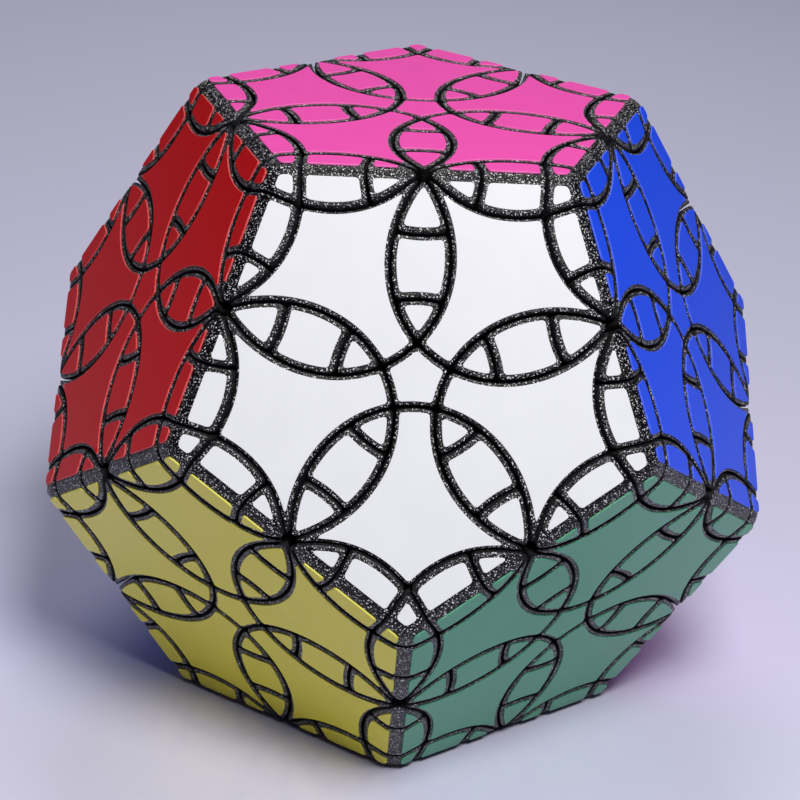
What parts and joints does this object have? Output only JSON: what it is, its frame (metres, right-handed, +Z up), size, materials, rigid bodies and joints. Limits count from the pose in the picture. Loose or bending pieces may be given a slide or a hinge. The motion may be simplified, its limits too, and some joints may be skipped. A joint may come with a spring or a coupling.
{
  "type": "dodecahedron twisty puzzle",
  "caption": "Hand-held dodecahedron twisty puzzle: overlapping round caps turn about axes near every corner of every pentagon face; black body, coloured stickers.",
  "frame": {"origin": "centre of the bottom face, on the surface the puzzle stands on", "axes": "+Z up through the centres of the bottom and top faces; -Y towards the front face, which leans back as it rises; +X to the right"},
  "size_m": [0.1246, 0.131, 0.1069],
  "materials": {
    "black_nylon": "matte, grainy printed nylon, dyed black",
    "core_plastic": "matte printed nylon",
    "screw_steel": "plated steel",
    "spring_steel": "drawn spring steel",
    "sticker_white": "thin vinyl sticker, semi-gloss",
    "sticker_pink": "thin vinyl sticker, semi-gloss",
    "sticker_red": "thin vinyl sticker, semi-gloss",
    "sticker_blue": "thin vinyl sticker, semi-gloss",
    "sticker_yellow": "thin vinyl sticker, semi-gloss",
    "sticker_green": "thin vinyl sticker, semi-gloss",
    "sticker_navy": "thin vinyl sticker, semi-gloss",
    "sticker_purple": "thin vinyl sticker, semi-gloss",
    "sticker_orange": "thin vinyl sticker, semi-gloss",
    "sticker_light_green": "thin vinyl sticker, semi-gloss",
    "sticker_cream": "thin vinyl sticker, semi-gloss",
    "sticker_grey": "thin vinyl sticker, semi-gloss"
  },
  "bodies": {
    "frame": {"core_ball": "core_plastic", "fixed_shell": "black_nylon", "corner_piece_1": "black_nylon", "corner_piece_2": "black_nylon", "corner_piece_3": "black_nylon", "corner_piece_4": "black_nylon", "corner_piece_5": "black_nylon", "corner_piece_6": "black_nylon", "corner_piece_7": "black_nylon", "corner_piece_8": "black_nylon", "screw_top": "screw_steel", "screw_front": "screw_steel", "screw_upper_right": "screw_steel", "screw_upper_back_right": "screw_steel", "screw_upper_back_left": "screw_steel", "screw_upper_left": "screw_steel", "screw_lower_right": "screw_steel", "screw_lower_back_right": "screw_steel", "screw_back": "screw_steel", "screw_lower_back_left": "screw_steel", "screw_lower_left": "screw_steel", "screw_bottom": "screw_steel", "spring_top": "spring_steel", "spring_front": "spring_steel", "spring_upper_right": "spring_steel", "spring_upper_back_right": "spring_steel", "spring_upper_back_left": "spring_steel", "spring_upper_left": "spring_steel", "spring_lower_right": "spring_steel", "spring_lower_back_right": "spring_steel", "spring_back": "spring_steel", "spring_lower_back_left": "spring_steel", "spring_lower_left": "spring_steel", "spring_bottom": "spring_steel"},
    "circle_top": {"axis_piece_top": "black_nylon", "turning_ring_top": "black_nylon"},
    "circle_front": {"axis_piece_front": "black_nylon", "turning_ring_front": "black_nylon"},
    "circle_upper_right": {"axis_piece_upper_right": "black_nylon", "turning_ring_upper_right": "black_nylon"},
    "circle_upper_back_right": {"axis_piece_upper_back_right": "black_nylon", "turning_ring_upper_back_right": "black_nylon"},
    "circle_upper_back_left": {"axis_piece_upper_back_left": "black_nylon", "turning_ring_upper_back_left": "black_nylon"},
    "circle_upper_left": {"axis_piece_upper_left": "black_nylon", "turning_ring_upper_left": "black_nylon"},
    "circle_lower_right": {"axis_piece_lower_right": "black_nylon", "turning_ring_lower_right": "black_nylon"},
    "circle_lower_back_right": {"axis_piece_lower_back_right": "black_nylon", "turning_ring_lower_back_right": "black_nylon"},
    "circle_back": {"axis_piece_back": "black_nylon", "turning_ring_back": "black_nylon"},
    "circle_lower_back_left": {"axis_piece_lower_back_left": "black_nylon", "turning_ring_lower_back_left": "black_nylon"},
    "circle_lower_left": {"axis_piece_lower_left": "black_nylon", "turning_ring_lower_left": "black_nylon"},
    "circle_bottom": {"axis_piece_bottom": "black_nylon", "turning_ring_bottom": "black_nylon"}
  },
  "joints": [
    {"name": "turn_top", "type": "hinge", "parent": "frame", "child": "circle_top", "pos_m": [0, 0, 0.05345], "axis": [0.3667, 0.1192, 0.9227], "continuous": true},
    {"name": "turn_front", "type": "hinge", "parent": "frame", "child": "circle_front", "pos_m": [0, 0, 0.05345], "axis": [-0.2266, -0.6858, 0.6916], "continuous": true},
    {"name": "turn_upper_right", "type": "hinge", "parent": "frame", "child": "circle_upper_right", "pos_m": [0, 0, 0.05345], "axis": [0.7222, -0.6203, 0.3061], "continuous": true},
    {"name": "turn_upper_back_right", "type": "hinge", "parent": "frame", "child": "circle_upper_back_right", "pos_m": [0, 0, 0.05345], "axis": [0.2197, 0.9263, 0.3061], "continuous": true},
    {"name": "turn_upper_back_left", "type": "hinge", "parent": "frame", "child": "circle_upper_back_left", "pos_m": [0, 0, 0.05345], "axis": [-0.5864, 0.4216, 0.6916], "continuous": true},
    {"name": "turn_upper_left", "type": "hinge", "parent": "frame", "child": "circle_upper_left", "pos_m": [0, 0, 0.05345], "axis": [-0.9489, -0.3083, 0.0678], "continuous": true},
    {"name": "turn_lower_right", "type": "hinge", "parent": "frame", "child": "circle_lower_right", "pos_m": [0, 0, 0.05345], "axis": [0.5864, -0.4216, -0.6916], "continuous": true},
    {"name": "turn_lower_back_right", "type": "hinge", "parent": "frame", "child": "circle_lower_back_right", "pos_m": [0, 0, 0.05345], "axis": [0.9489, 0.3083, -0.0678], "continuous": true},
    {"name": "turn_back", "type": "hinge", "parent": "frame", "child": "circle_back", "pos_m": [0, 0, 0.05345], "axis": [0.2266, 0.6858, -0.6916], "continuous": true},
    {"name": "turn_lower_back_left", "type": "hinge", "parent": "frame", "child": "circle_lower_back_left", "pos_m": [0, 0, 0.05345], "axis": [-0.7222, 0.6203, -0.3061], "continuous": true},
    {"name": "turn_lower_left", "type": "hinge", "parent": "frame", "child": "circle_lower_left", "pos_m": [0, 0, 0.05345], "axis": [-0.2197, -0.9263, -0.3061], "continuous": true},
    {"name": "turn_bottom", "type": "hinge", "parent": "frame", "child": "circle_bottom", "pos_m": [0, 0, 0.05345], "axis": [-0.3667, -0.1192, -0.9227], "continuous": true}
  ]
}
